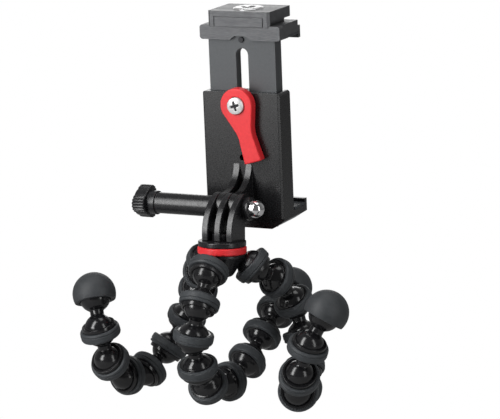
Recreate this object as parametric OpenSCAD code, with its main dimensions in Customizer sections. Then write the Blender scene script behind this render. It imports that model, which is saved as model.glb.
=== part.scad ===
// Flexible-leg tripod with a sliding clamp, its legs in a wrapped pose. Millimetres, +Z up,
// +X along the axis of the wrap, +Y from the lever side to the clamp's back. The origin lies on
// the wrap's axis, straight below the hub.

/* [Wrap] */
// Diameter of the round that the legs wrap
wrap_d = 34; // [30:0.5:40]
// Gap between a grip ring and that round
wrap_gap = 0.25; // [0.1:0.05:1]

/* [Leg links] */
// Distance between the ball centres of two neighbouring links
link_pitch = 16; // [15:0.25:18]
// Links in one leg, the foot not counted
links_per_leg = 8; // [5:1:8]
// Diameter of a link's ball
ball_d = 13.1; // [12:0.1:13.5]
// Gap between a ball and its cup
ball_gap = 0.15; // [0.1:0.01:0.25]
// Wall of a cup
cup_wall = 1.1; // [0.9:0.1:1.4]
// How far a cup reaches past the ball's centre
cup_reach = 2; // [1.8:0.1:2.6]
// Diameter of a link's neck
neck_d = 6.2; // [5:0.1:6.4]
// Diameter of the dome behind a cup
dome_d = 14.4; // [14:0.1:14.8]
// How far the dome's centre lies behind the ball's centre
dome_set = 1.4; // [1:0.1:1.8]
// Outer diameter of a rubber grip ring
grip_d = 18.3; // [17.6:0.1:19]
// Width of a grip ring along the leg
grip_w = 4.5; // [3.5:0.1:5]
// How far a grip ring's back edge lies behind the ball's centre
grip_set = 4.25; // [3.5:0.05:4.5]
// Depth of the groove that seats a grip ring
grip_seat = 0.35; // [0.2:0.05:0.5]
// Radius of a grip ring's round shoulders
grip_round = 0.9; // [0.4:0.1:1.2]
// Diameter of a foot's rubber dome
foot_d = 19.7; // [18.5:0.1:20.5]
// Wall of a foot's rubber dome
foot_wall = 1.7; // [1.2:0.1:2.2]
// How far a foot's dome reaches behind its centre
foot_skirt = 3.5; // [2:0.1:5]

/* [Hub] */
// Lean of the hub towards +Y, in degrees
hub_lean = 5; // [0:1:8]
// Height at which the hub's axis crosses the upright through the origin
hub_z = 55.7; // [54:0.1:60]
// Diameter of the hub below its ring
hub_d = 21; // [20:0.1:22]
// Diameter of the hub's blunt tip
hub_tip_d = 9; // [6:0.5:12]
// Height of the hub from its ring to its tip
hub_h = 10.5; // [9:0.5:12]
// Distance of the leg sockets from the hub's axis
socket_out = 15; // [14.5:0.25:16]
// Depth of the leg sockets' centres under that crossing
socket_drop = 28; // [27:0.25:30]
// Angle of the leg sockets below level, in degrees
socket_dip = 42; // [38:1:46]
// Diameter of the neck that carries a leg socket
socket_neck_d = 12.6; // [11:0.2:14]
// Diameter of the trim ring
ring_d = 22.1; // [21.5:0.1:24]
// Height of the trim ring
ring_h = 3.2; // [2.4:0.1:4]
// Width of the trim ring's bevels
ring_bevel = 0.5; // [0.2:0.1:1]
// Diameter of the stud that the fork turns on
stud_d = 6.2; // [5:0.1:7]
// Length of the stud above the hub
stud_l = 3.8; // [3.4:0.1:5]
// Length of the stud that is sunk into the hub
stud_sunk = 6.5; // [4:0.5:8]

/* [Fork] */
// Height of the tilt bolt above the wrap's axis
bolt_z = 53.6; // [52:0.1:55]
// Distance of the tilt bolt behind the wrap's axis
bolt_y = 8.5; // [7:0.1:9]
// Diameter of the tilt bolt
bolt_d = 5; // [4:0.1:5.2]
// Thickness of one fork finger
finger_w = 2.9; // [2.5:0.05:3]
// Gap between two fork fingers
finger_gap = 3.15; // [3.1:0.05:3.4]
// Thickness of one of the clamp's fingers
tongue_w = 2.95; // [2.6:0.05:3]
// How far the fork's fingers reach in front of the hub's axis
finger_front = 5.5; // [5:0.1:6]
// How far the fork's fingers reach behind the hub's axis
finger_back = 8.3; // [7:0.1:9]
// Radius of the fingers' front edge
finger_curve = 18; // [16:0.5:20]
// Diameter of the fingers' round ends
finger_end_d = 13.2; // [12:0.1:14]
// Diameter of the round ends of the clamp's fingers
tongue_end_d = 13; // [12:0.1:14]
// Diameter of the fork's round base
fork_base_d = 21.6; // [20:0.1:22]
// Height of the fork's round base
fork_base_h = 2.3; // [2:0.1:4]
// Depth of the base's underside under the crossing of the hub's axis
fork_base_drop = 17.4; // [16.5:0.1:19]
// Diameter of the boss that holds the cap nut
nut_boss_d = 10.5; // [10:0.1:12]
// Length of the boss that holds the cap nut
nut_boss_l = 3.2; // [2.5:0.1:4]
// Running gap of the bolt, the stud and the lever screw
run_gap = 0.05; // [0.03:0.01:0.1]
// Gap between the stacked pieces of the hub
stack_gap = 0.2; // [0.1:0.05:0.3]

/* [Thumb screw] */
// Distance from the fork to the knob's outer end
knob_reach = 38.85; // [34:0.05:42]
// Length of the knob along the bolt
knob_l = 6.1; // [5:0.1:8]
// Distance of a knob lobe's centre from the bolt's axis
lobe_out = 4; // [3.8:0.1:5]
// Diameter of a knob lobe
lobe_d = 8.2; // [8:0.1:9.4]
// Diameter of the knob's core
knob_core_d = 12.4; // [11:0.1:13]
// Number of ribs at each side of a lobe's tip
rib_count = 3; // [0:1:3]
// Angle between two ribs of a lobe, in degrees
rib_step = 24; // [16:1:26]
// Diameter of one rib
knob_rib_d = 0.8; // [0.6:0.05:0.9]
// Length of the collar beside the knob
knob_collar_l = 3.8; // [3:0.1:5]
// Diameter of the collar beside the knob
knob_collar_d = 10.9; // [10.5:0.1:12.4]
// Diameter of the long sleeve
sleeve_d = 9.6; // [8:0.1:10]
// Diameter of the cap nut across its corners
nut_d = 7.9; // [7.2:0.1:8.5]
// Length of the cap nut
nut_l = 8.2; // [7:0.1:9]
// How far the cap nut stands out of its boss
nut_proud = 5.9; // [5:0.05:7]

/* [Clamp housing] */
// Width of the housing
housing_w = 38.5; // [38.2:0.1:41]
// Height of the housing's underside above the wrap's axis
housing_z = 46; // [45.5:0.1:48]
// Height of the housing
housing_h = 57.5; // [55:0.5:60]
// Distance of the housing's front face behind the wrap's axis
housing_y = 22.8; // [22:0.1:24]
// Thickness of the housing's front wall
housing_face = 2.4; // [2:0.1:2.8]
// Thickness of the housing's side walls
housing_side = 2.5; // [2.3:0.05:2.6]
// Thickness of the housing's floor
housing_wall = 1.9; // [1.6:0.05:2]
// Radius of the housing's upper corners
housing_round = 1.4; // [1:0.1:2.5]
// Width of the bevel down the housing's front edges
housing_bevel = 0.9; // [0.5:0.1:1.2]
// Height above the bolt at which the clamp's fingers leave the housing
tongue_rise = 17.2; // [15:0.1:17.4]
// Height of the fingers' upper edge above the bolt
tongue_top = 6.4; // [5.5:0.1:6.5]
// Radius of the fingers' hollow curve
tongue_curve = 13; // [12:0.5:14]
// How far a finger of the clamp stands out from the housing at its upper end
tongue_tip = 0.3; // [0.2:0.05:0.6]
// Thickness of the slide's bearing strips
liner_t = 0.8; // [0.5:0.05:1]
// Width of one bearing strip
liner_w = 8; // [6:0.5:10]
// Gap between the slide and what guides it
slide_gap = 0.2; // [0.1:0.05:0.3]
// Thickness of the back cover
cover_t = 1.6; // [1.4:0.1:2]
// How deep the back cover is let into each side wall
cover_let = 0.6; // [0.3:0.05:0.9]
// Diameter of the hole above the clamp's fingers
peep_d = 3; // [2:0.1:4]
// Height of the peep hole above the bolt
peep_rise = 20; // [19:0.1:24]
// Thickness of the rubber pad on the clamp's back
back_pad_t = 0.9; // [0.6:0.1:1.2]
// Width of the rubber pad on the clamp's back
back_pad_w = 27; // [22:0.5:29]
// Height of the rubber pad on the clamp's back
back_pad_h = 47; // [40:0.5:50]

/* [Slide and jaws] */
// Width between the jaws in this pose
jaw_gap = 77.8; // [70:0.2:88]
// Width of the slide
slide_w = 33.1; // [32:0.1:33.2]
// Thickness of the slide
slide_t = 6.5; // [6:0.1:7]
// Length of the slide below the upper jaw
slide_l = 55; // [52:0.5:57]
// Width of the slide's slot
slot_w = 6; // [5.6:0.1:7]
// Width of the track behind the slot
track_w = 11; // [10:0.1:12]
// Depth of the track behind the slot
track_t = 1.6; // [1.4:0.1:2.4]
// How far the jaw can open beyond this pose
open_travel = 13.2; // [12:0.1:14]
// How far the jaw can close from this pose
close_travel = 21.8; // [20:0.1:22]
// Thickness of the upper jaw
jaw_h = 6.6; // [6:0.1:8]
// Wall of the upper jaw in front of the slide
jaw_face = 1.8; // [1.5:0.1:2]
// How deep the slide is let into the upper jaw
jaw_socket = 4; // [3:0.1:4.5]
// Distance of the jaws' ends behind the wrap's axis
jaw_reach = 48.5; // [47.5:0.1:50]
// Length of the upper jaw's thin lip
lip_l = 2.3; // [1.5:0.1:3]
// Thickness of the upper jaw's thin lip
lip_h = 4; // [3:0.1:4.5]
// Thickness of the hooks at the jaws' ends
hook_t = 2.2; // [1.8:0.1:2.6]
// Height of the hooks at the jaws' ends
hook_h = 1.6; // [1:0.1:2.5]
// Thickness of the jaws' rubber pads
jaw_pad_t = 1.3; // [1:0.1:1.6]
// Width of the upper jaw's flange
jaw_w = 39.8; // [38.5:0.1:41]
// Depth of the upper jaw's flange
flange_d = 4.4; // [3:0.1:6]
// Width of the upper jaw's arm
arm_w = 37.8; // [36:0.1:38]
// Width of the notch in the upper jaw's lower edge
notch_w = 10.3; // [9:0.1:12]
// Height of the notch in the upper jaw's lower edge
notch_h = 1.8; // [1:0.1:2]
// Depth of the lower jaw's chin below the housing
chin_h = 5; // [4.2:0.1:6]
// Slope width at each side of the chin
chin_slope = 6.2; // [4:0.1:8]
// Height of the chin's sloped sides
chin_rise = 3.9; // [2.5:0.1:4]

/* [Accessory shoe] */
// Width of the shoe
shoe_w = 30.6; // [29:0.1:32]
// Depth of the shoe
shoe_d = 22.4; // [21:0.1:22.4]
// Height of the shoe above the upper jaw
shoe_h = 6.5; // [6:0.1:8]
// Height of the groove under the shoe's edges
shoe_groove_h = 1.7; // [1.2:0.1:2]
// Depth of the groove under the shoe's edges
shoe_groove_d = 2; // [1.5:0.1:2.5]
// Width of the bevels at the shoe's front corners
shoe_bevel = 1.1; // [0.5:0.1:1.4]
// Thickness of the shoe's front wall
shoe_face = 1.6; // [1.4:0.1:2]
// How far the shoe's front wall laps over the upper jaw
shoe_lap = 0.5; // [0.3:0.1:1]
// Width of the plate set into the shoe's front
inset_w = 23.9; // [20:0.1:25]
// Height of the plate set into the shoe's front
inset_h = 4.2; // [3.5:0.1:5.6]
// Thickness of the plate set into the shoe's front
inset_t = 0.5; // [0.3:0.05:0.6]
// Seam round the plate set into the shoe's front
inset_seam = 0.3; // [0.1:0.01:0.4]
// Diameter of the threaded insert's flange
insert_d = 14; // [12:0.1:15]
// How far the insert's flange stands out of the shoe
insert_proud = 0.6; // [0.4:0.1:1]
// Diameter of the threaded insert's body
insert_body_d = 10; // [9:0.1:11]
// Length of the threaded insert
insert_l = 5.6; // [5:0.1:6]
// Radius of the insert's tapped hole
thread_r = 2.6; // [2.5:0.05:2.7]

/* [Lock lever] */
// Height of the lever's screw above the wrap's axis
lever_z = 98.3; // [97:0.1:99]
// Gap between the lever and the housing
lever_gap = 0.3; // [0.2:0.05:0.6]
// Thickness of the lever
lever_t = 4.7; // [4:0.1:5.5]
// Radius of the lever's head
lever_head_r = 7.8; // [7:0.1:8.2]
// Distance from the screw to the lever's free end
lever_l = 26.8; // [25:0.1:27]
// Width of the lever's waist
lever_waist = 6.9; // [6:0.1:8]
// Width of the lever's free end
lever_tail = 8.6; // [7.5:0.1:9.5]
// Angle of the lever from straight down, in degrees
lever_lean = 16; // [14:1:25]
// Diameter of the lever screw's head
screw_head_d = 7.7; // [7:0.1:8]
// Height of the lever screw's head
screw_head_h = 2.8; // [2:0.1:3]
// How deep the lever screw's head is let into the lever
screw_sunk = 1; // [0.6:0.1:1.4]
// Diameter of the lever screw
lever_screw_d = 4; // [3.5:0.1:5]
// Length of the cross in the lever screw's head
cross_l = 4.4; // [3:0.1:5]
// Width of the cross in the lever screw's head
cross_w = 1.1; // [0.8:0.1:1.4]
// Diameter of the washer under the lever
washer_d = 10; // [8:0.5:14]

/* [Small screws] */
// Diameter of the small screws
small_screw_d = 2; // [1.6:0.1:2.2]
// Diameter of the small screws' heads
small_head_d = 3.6; // [3.2:0.1:3.8]
// Height of the small screws' heads
small_head_h = 1; // [0.8:0.1:1.1]
// Length of the stop screw under its head
small_screw_l = 3; // [2:0.1:4]
// Diameter of the stop screw's head
stop_head_d = 2.6; // [2.2:0.1:3]
// Height of the stop screw's head
stop_head_h = 0.7; // [0.5:0.1:0.9]
// How far a small screw bites past the joint that it closes
screw_bite = 1.6; // [1.2:0.1:1.8]

/* [Hidden] */
$fn = 96;
over = 1;                                  // overrun of every cut
seam = 0.02;                               // seam between pieces that are pressed together
ball_r = ball_d / 2;
cup_in_r = ball_r + ball_gap;
cup_r = cup_in_r + cup_wall;
grip_r = grip_d / 2;
seat_r = cup_r - grip_seat / 2;
foot_r = foot_d / 2;
neck_r = neck_d / 2;
wrap_r = wrap_d / 2 + grip_r + wrap_gap;   // ball centres keep this far from the wrap's axis

// Advance of each link along the wrap's axis, and its stand-off from the wrap circle, in shares of the
// pitch and counted from the hub. The last number holds the foot.
front_shift_shares = [0, -0.2, -0.02, -0.04, 0.2, 0.16, 0.1, 0.04, 0.04];
front_lift_shares = [0.34, 0.1, 0.06, 0.1, 0, 0, 0.38, 1.18, 2.1];
left_shift_shares = [-0.45, -0.45, -0.45, -0.42, -0.24, -0.16, -0.1, -0.12, -0.3];
right_shift_shares = [0.34, 0.24, 0.26, 0.28, 0.29, 0.32, 0.36, 0.38, 0.39];
flat_lift_shares = [0];

// Name, socket direction round the hub, sense of the wrap, shifts and lifts of each leg
LEGS = [
    ["front_leg", -90, -1, front_shift_shares, front_lift_shares],
    ["left_leg", 150, 1, left_shift_shares, flat_lift_shares],
    ["right_leg", 30, 1, right_shift_shares, flat_lift_shares]
];

function pick(list, i) = list[min(i, len(list) - 1)];

// A place in the hub's leaning frame brought to the part's frame, and back
function from_hub(p) = [p.x, p.y * cos(hub_lean) + p.z * sin(hub_lean),
                        p.z * cos(hub_lean) - p.y * sin(hub_lean) + hub_z];
function to_hub(p) = [p.x, p.y * cos(hub_lean) - (p.z - hub_z) * sin(hub_lean),
                      (p.z - hub_z) * cos(hub_lean) + p.y * sin(hub_lean)];
function socket_dir(turn) = [cos(turn) * cos(socket_dip), sin(turn) * cos(socket_dip), -sin(socket_dip)];
function socket_place(turn) = [socket_out * cos(turn), socket_out * sin(turn), -socket_drop];

// The next ball centre: one pitch from the last, dx further along the wrap's axis, at radius r from it
function next_ball(c, dx, r, way) =
    let (r0 = norm([c.y, c.z]), a0 = atan2(c.z, -c.y),
         k = (r0 * r0 + r * r - link_pitch * link_pitch + dx * dx) / (2 * r0 * r),
         a = a0 + way * acos(min(1, k)))
    [c.x + dx, -r * cos(a), r * sin(a)];
function balls(leg, n) = n == 0 ? [from_hub(socket_place(leg[1]))] :
    let (b = balls(leg, n - 1))
    concat(b, [next_ball(b[n - 1], pick(leg[3], n - 1) * link_pitch,
                         wrap_r + pick(leg[4], n - 1) * link_pitch, leg[2])]);
LEG_BALLS = [for (leg = LEGS) balls(leg, links_per_leg + 1)];

fork_base_z = -fork_base_drop;
ring_top = fork_base_z - stack_gap;
hub_top = ring_top - ring_h - stack_gap;
hub_tip = hub_top - hub_h;
fork_w = 3 * finger_w + 2 * finger_gap;
tongue_x = (finger_w + finger_gap) / 2;
tongue_l = housing_y - bolt_y;
tongue_curve_y = tongue_l - tongue_tip
    - sqrt(pow(tongue_curve, 2) - pow(tongue_top + tongue_curve - tongue_rise, 2));
knob_end = -fork_w / 2 - knob_reach;
nut_end = fork_w / 2 + nut_boss_l + nut_proud;
bolt = to_hub([0, bolt_y, bolt_z]);        // the tilt bolt in the hub's frame
finger_curve_y = finger_curve - finger_front;
finger_curve_z = bolt.z - sqrt(pow(finger_curve - finger_end_d / 2, 2) - pow(finger_curve_y - bolt.y, 2));

slide_front = housing_y + housing_face + liner_t + slide_gap;
slide_back = slide_front + slide_t;
cover_front = slide_back + slide_gap;
housing_back = cover_front + cover_t;
housing_top = housing_z + housing_h;
channel_w = housing_w - 2 * housing_side;
cover_w = channel_w + 2 * cover_let;
pad_face = housing_back + back_pad_t;
shelf_z = housing_z + housing_wall + jaw_pad_t;  // the lower jaw's rest
jaw_z = shelf_z + jaw_gap;                 // the upper jaw's rest
jaw_front = slide_front - jaw_face;
jaw_top = jaw_z + jaw_h;
stop_y = jaw_reach - hook_t;
pad_y = pad_face + slide_gap;
slide_z = jaw_z - slide_l;
slide_top = jaw_z + jaw_socket;
slot_top = lever_z + close_travel;
slot_low = lever_z - open_travel;
lever_back = housing_y - lever_gap;
lever_front = lever_back - lever_t;
chin_z = housing_z - chin_h;
shoe_y = jaw_front - shoe_face / 2;
shoe_top = jaw_top + shoe_h;
insert_y = shoe_y + shoe_d / 2;
lower_screw_l = chin_h - small_head_h + screw_bite;
jaw_screw_l = jaw_h - jaw_socket - small_head_h + 2 * screw_bite;
shoe_screw_l = jaw_h - jaw_pad_t - small_head_h + 2 * screw_bite;
screw_spread_share = 0.3;                  // of a width, from its middle to a small screw
neck_share = 0.8;                          // of the lever head's radius
waist_share = 0.5;                         // of the lever's length
notch_share = 0.52;                        // of the notch's width, at its top

FIXED = ["hub_body", "hub_grips", "trim_ring", "hub_stud", "fork", "cap_nut", "tilt_bolt",
    "thumb_knob", "housing", "slide_liners", "back_cover", "back_pad",
    "lower_jaw", "lower_jaw_pad", "lower_jaw_screws", "slot_nut", "lever_washer", "lock_lever",
    "lever_screw", "slide_plate", "stop_screw", "upper_jaw", "upper_jaw_pad", "jaw_screws",
    "shoe_block", "shoe_inset", "shoe_screws", "threaded_insert"];
function leg_node(k, n) = n > links_per_leg ? str(LEGS[k][0], "_foot") : str(LEGS[k][0], "_link_", n);

// Points +Z along the direction d
module aim(d) rotate([0, acos(d.z / norm(d)), atan2(d.y, d.x)]) children();
// Stands its children in the hub's leaning frame
module in_hub() translate([0, 0, hub_z]) rotate([-hub_lean, 0, 0]) children();
// Turns an outline drawn on Y and Z into a plate w thick, centred on x
module side_plate(x, w) translate([x + w / 2, 0, 0]) rotate([0, -90, 0]) rotate([0, 0, 90])
    mirror([0, 1, 0]) linear_extrude(w) children();
// A block from its low corner to its high corner
module span(a, b) translate(a) cube(b - a);
// The right half of an outline, for turning
module half(low, high) intersection() {
    children();
    translate([0, low]) square([high - low, high - low]);
}

// Cup of a socket joint, its centre at the origin and its mouth towards +Z
module cup_outline() difference() {
    union() {
        intersection() {
            circle(cup_r);
            translate([0, -grip_set]) square([cup_r, grip_set + cup_reach]);
        }
        translate([0, -grip_set]) square([seat_r, grip_set]);
        translate([0, -dome_set]) intersection() {
            circle(d = dome_d);
            translate([0, -dome_d]) square([dome_d, dome_d]);
        }
    }
    translate([seat_r, -grip_set]) square([cup_r, grip_w]);
}
module cup_hollow() {
    circle(cup_in_r);
}
// Rubber ring round a cup
module grip_outline() difference() {
    union() {
        translate([0, -grip_set]) square([grip_r - grip_round, grip_w]);
        translate([0, -grip_set + grip_round]) square([grip_r, grip_w - 2 * grip_round]);
        for (z = [-grip_set + grip_round, grip_w - grip_set - grip_round])
            translate([grip_r - grip_round, z]) circle(grip_round);
    }
    translate([-over, -grip_set - over]) square([seat_r + seam + over, grip_w + 2 * over]);
    circle(cup_r + seam);
}
module grip_ring() rotate_extrude() half(-grip_set - over, grip_r) grip_outline();

// Link with its ball at the origin and its cup one pitch along +Z
module link_shell() rotate_extrude() half(-ball_r - over, link_pitch + cup_r + over) difference() {
    union() {
        circle(ball_r);
        square([neck_r, link_pitch - cup_in_r - cup_wall / 2]);
        translate([0, link_pitch]) cup_outline();
    }
    translate([0, link_pitch]) cup_hollow();
}
module link() {
    color([0.03, 0.03, 0.035]) link_shell();
    color([0.22, 0.23, 0.24]) translate([0, 0, link_pitch]) grip_ring();
}

// Foot with its ball at the origin and its dome one pitch along +Z
module foot() {
    core_r = foot_r - foot_wall - seam;
    color([0.03, 0.03, 0.035]) rotate_extrude() half(-ball_r - over, link_pitch + foot_r + over) union() {
        circle(ball_r);
        square([neck_r, link_pitch - foot_skirt]);
        translate([0, link_pitch]) circle(core_r);
        translate([0, link_pitch - dome_set]) circle(d = dome_d);
    }
    color([0.2, 0.21, 0.22]) translate([0, 0, link_pitch]) rotate_extrude()
        half(-foot_skirt, foot_r) difference() {
            circle(foot_r);
            circle(foot_r - foot_wall);
        }
}

// One leg piece in its place: n counts from 1 at the hub, and the last is the foot
module leg_piece(k, n) {
    b = LEG_BALLS[k];
    translate(b[n - 1]) aim(b[n] - b[n - 1]) if (n > links_per_leg) foot(); else link();
}

module at_sockets() for (leg = LEGS) in_hub() translate(socket_place(leg[1]))
    aim(socket_dir(leg[1])) children();

// Hub with three leg sockets
module hub_body() color([0.1, 0.1, 0.11]) difference() {
    union() {
        in_hub() translate([0, 0, hub_tip]) cylinder(h = hub_h, r1 = hub_tip_d / 2, r2 = hub_d / 2);
        at_sockets() rotate_extrude() half(-dome_d, dome_d) cup_outline();
        difference() {
            at_sockets() translate([0, 0, -socket_out])
                cylinder(h = socket_out - grip_set, d = socket_neck_d);
            in_hub() translate([0, 0, hub_top]) cylinder(h = socket_drop, d = 3 * hub_d);
        }
    }
    at_sockets() sphere(cup_in_r);
    in_hub() translate([0, 0, hub_top - stud_sunk]) cylinder(h = stud_sunk + over, d = stud_d + 2 * seam);
}
module hub_grips() color([0.22, 0.23, 0.24]) at_sockets() grip_ring();

// Red trim ring under the fork, with bevelled edges
module trim_ring() color([0.9, 0.12, 0.14]) in_hub() translate([0, 0, ring_top - ring_h]) rotate_extrude()
    polygon([
        [stud_d / 2 + seam, 0], [ring_d / 2 - ring_bevel, 0], [ring_d / 2, ring_bevel],
        [ring_d / 2, ring_h - ring_bevel], [ring_d / 2 - ring_bevel, ring_h], [stud_d / 2 + seam, ring_h]]);

// Stud that is sunk in the hub and carries the fork
module hub_stud() color("silver") in_hub() translate([0, 0, hub_top - stud_sunk])
    cylinder(h = fork_base_z + stud_l - hub_top + stud_sunk, d = stud_d);

// Three-finger fork. A finger's front edge is an arc that runs into its round end, and its back edge
// is straight.
module finger_outline() {
    r = finger_end_d / 2;
    low = fork_base_z + fork_base_h / 2;
    top = [bolt.y - finger_curve_y, bolt.z - finger_curve_z] * r / (finger_curve - r);
    translate([bolt.y, bolt.z]) circle(r);
    intersection() {
        translate([finger_curve_y, finger_curve_z]) circle(finger_curve);
        polygon([[finger_back, low], [-finger_front - over, low], [-finger_front - over, bolt.z + top.y],
            [bolt.y, bolt.z] + top, [bolt.y, bolt.z], [finger_back, bolt.z]]);
    }
}
module fork() color([0.13, 0.13, 0.14]) in_hub() difference() {
    union() {
        for (i = [-1 : 1]) side_plate(i * (finger_w + finger_gap), finger_w) finger_outline();
        translate([0, 0, fork_base_z]) cylinder(h = fork_base_h, d = fork_base_d);
        translate([0, 0, fork_base_z])
            cylinder(h = stud_l + stack_gap + finger_w / 2, d = stud_d + finger_w);
        translate([fork_w / 2, bolt.y, bolt.z]) rotate([0, 90, 0]) cylinder(h = nut_boss_l, d = nut_boss_d);
    }
    translate(bolt) rotate([0, 90, 0]) cylinder(h = 2 * fork_w, d = bolt_d + 2 * run_gap, center = true);
    translate([nut_end - nut_l - seam, bolt.y, bolt.z]) rotate([0, 90, 0])
        cylinder(h = nut_l, d = nut_d + 2 * seam);
    translate([0, 0, fork_base_z - over]) cylinder(h = over + stud_l + stack_gap, d = stud_d + 2 * run_gap);
}

// Steel bolt that clamps the fork, with its end inside the cap nut
module tilt_bolt() color("silver") translate([knob_end + knob_l / 2, bolt_y, bolt_z])
    rotate([0, 90, 0]) cylinder(h = nut_end - nut_proud / 2 - knob_end - knob_l / 2, d = bolt_d);

// Chrome cap nut
module cap_nut() color("gainsboro") translate([nut_end - nut_l, bolt_y, bolt_z]) rotate([0, 90, 0])
    difference() {
        union() {
            cylinder(h = nut_l - nut_d / 2, d = nut_d);
            translate([0, 0, nut_l - nut_d / 2]) intersection() {
                sphere(d = nut_d);
                cylinder(h = nut_d, d = 2 * nut_d);
            }
        }
        translate([0, 0, -over])
            cylinder(h = nut_l - nut_proud / 2 + run_gap + over, d = bolt_d + 2 * run_gap);
    }

// Moulded knob with its collar and sleeve
module knob_outline() {
    circle(d = knob_core_d);
    for (a = [30, 150, 270]) rotate(a) translate([lobe_out, 0]) {
        circle(d = lobe_d);
        for (i = [-rib_count : rib_count]) rotate(i * rib_step) translate([lobe_d / 2, 0])
            circle(d = knob_rib_d, $fn = 16);
    }
}
module thumb_knob() color([0.07, 0.07, 0.08]) translate([knob_end, bolt_y, bolt_z]) rotate([0, 90, 0])
    difference() {
        union() {
            linear_extrude(knob_l) knob_outline();
            cylinder(h = knob_l + knob_collar_l, d = knob_collar_d);
            cylinder(h = knob_reach - stack_gap, d = sleeve_d);
        }
        translate([0, 0, knob_l / 2 - seam]) cylinder(h = knob_reach, d = bolt_d + 2 * seam);
    }

// Clamp housing: a channel, open above and behind, with two fingers for the fork
module tongue_outline() {
    circle(d = tongue_end_d);
    difference() {
        translate([0, -tongue_end_d / 2])
            square([tongue_l + housing_face / 2, tongue_end_d / 2 + tongue_rise]);
        translate([tongue_curve_y, tongue_top + tongue_curve]) circle(tongue_curve);
        translate([-over, tongue_top]) square([tongue_curve_y + over, tongue_rise]);
    }
}
module housing_front_outline() {
    r = housing_round;
    translate([-housing_w / 2, 0]) square([housing_w, housing_h - r]);
    translate([-housing_w / 2 + r, 0]) square([housing_w - 2 * r, housing_h]);
    for (x = [-1, 1]) translate([x * (housing_w / 2 - r), housing_h - r]) circle(r);
}
module housing_top_outline() polygon([
    [-housing_w / 2, housing_back], [-housing_w / 2, housing_y + housing_bevel],
    [-housing_w / 2 + housing_bevel, housing_y], [housing_w / 2 - housing_bevel, housing_y],
    [housing_w / 2, housing_y + housing_bevel], [housing_w / 2, housing_back]]);
module housing() color([0.14, 0.145, 0.15]) difference() {
    union() {
        intersection() {
            translate([0, housing_back + over, housing_z]) rotate([90, 0, 0])
                linear_extrude(housing_back - housing_y + 2 * over) housing_front_outline();
            translate([0, 0, housing_z]) linear_extrude(housing_h) housing_top_outline();
        }
        for (x = [-tongue_x, tongue_x]) translate([0, bolt_y, bolt_z])
            side_plate(x, tongue_w) tongue_outline();
    }
    span([-channel_w / 2, housing_y + housing_face, housing_z + housing_wall],
         [channel_w / 2, housing_back + over, housing_top + over]);
    span([-cover_w / 2 - seam, cover_front - seam, housing_z + housing_wall],
         [cover_w / 2 + seam, housing_back + over, housing_top - housing_wall]);
    translate([0, housing_y - over, lever_z]) rotate([-90, 0, 0])
        cylinder(h = housing_face + 2 * over, d = lever_screw_d + 2 * run_gap);
    translate([0, housing_y - over, bolt_z + peep_rise]) rotate([-90, 0, 0])
        cylinder(h = housing_face + 2 * over, d = peep_d);
    translate([0, bolt_y, bolt_z]) rotate([0, 90, 0])
        cylinder(h = fork_w, d = bolt_d + 2 * run_gap, center = true);
    at_lower_screws() screw_hole(lower_screw_l);
}

// Bearing strips between the housing and the slide
module slide_liners() color("whitesmoke") for (x = [-1, 1])
    translate([x * (channel_w - liner_w) / 2 - liner_w / 2, housing_y + housing_face,
               housing_z + housing_wall])
        cube([liner_w, liner_t, housing_h - 2 * housing_wall]);

// Cover behind the slide, let into the housing's side walls
module back_cover() color([0.1, 0.1, 0.11]) span([-cover_w / 2, cover_front, housing_z + housing_wall],
    [cover_w / 2, housing_back, housing_top - housing_wall]);
module back_pad() color([0.08, 0.08, 0.085]) translate([-back_pad_w / 2, housing_back,
    housing_z + (housing_h - back_pad_h) / 2]) cube([back_pad_w, back_pad_t, back_pad_h]);

// Small pan-head screw with its head above the seat at z = 0
module small_screw(length, head_d = small_head_d, head_h = small_head_h) {
    cylinder(h = head_h, d = head_d);
    translate([0, 0, -length]) cylinder(h = length + head_h / 2, d = small_screw_d);
}
module screw_hole(length, head_d = small_head_d) {
    cylinder(h = small_head_h + over, d = head_d + 2 * seam);
    translate([0, 0, -length - seam]) cylinder(h = length + over, d = small_screw_d + 2 * seam);
}

// Lower jaw: a chin under the housing and an arm behind it
module chin_outline(top) polygon([
    [-housing_w / 2, top], [-housing_w / 2, chin_z + chin_rise], [-housing_w / 2 + chin_slope, chin_z],
    [housing_w / 2 - chin_slope, chin_z], [housing_w / 2, chin_z + chin_rise], [housing_w / 2, top]]);
module at_lower_screws() for (x = [-1, 1])
    translate([x * screw_spread_share * housing_w, (slide_front + slide_back) / 2, chin_z + small_head_h])
        rotate([180, 0, 0]) children();
module lower_jaw() color([0.09, 0.09, 0.1]) difference() {
    union() {
        translate([0, jaw_reach, 0]) rotate([90, 0, 0])
            linear_extrude(jaw_reach - housing_y - housing_bevel) chin_outline(housing_z);
        translate([0, jaw_reach, 0]) rotate([90, 0, 0])
            linear_extrude(jaw_reach - housing_back) chin_outline(housing_z + housing_wall);
        span([-housing_w / 2, stop_y, housing_z], [housing_w / 2, jaw_reach, shelf_z + hook_h]);
    }
    at_lower_screws() screw_hole(lower_screw_l);
}
module lower_jaw_pad() color([0.06, 0.06, 0.065]) span([-housing_w / 2, pad_y, housing_z + housing_wall],
    [housing_w / 2, stop_y, shelf_z]);
module lower_jaw_screws() color("dimgray") at_lower_screws() small_screw(lower_screw_l);

// Nut in the slide's track, pulled forward by the lever screw
module slot_nut() color("silver") difference() {
    span([-track_w / 2 + slide_gap, slide_back - track_t + slide_gap / 2, lever_z - track_w / 2],
         [track_w / 2 - slide_gap, slide_back - slide_gap / 2, lever_z + track_w / 2]);
    translate([0, slide_front, lever_z]) rotate([-90, 0, 0])
        cylinder(h = slide_t + over, d = lever_screw_d + 2 * run_gap);
}

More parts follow.
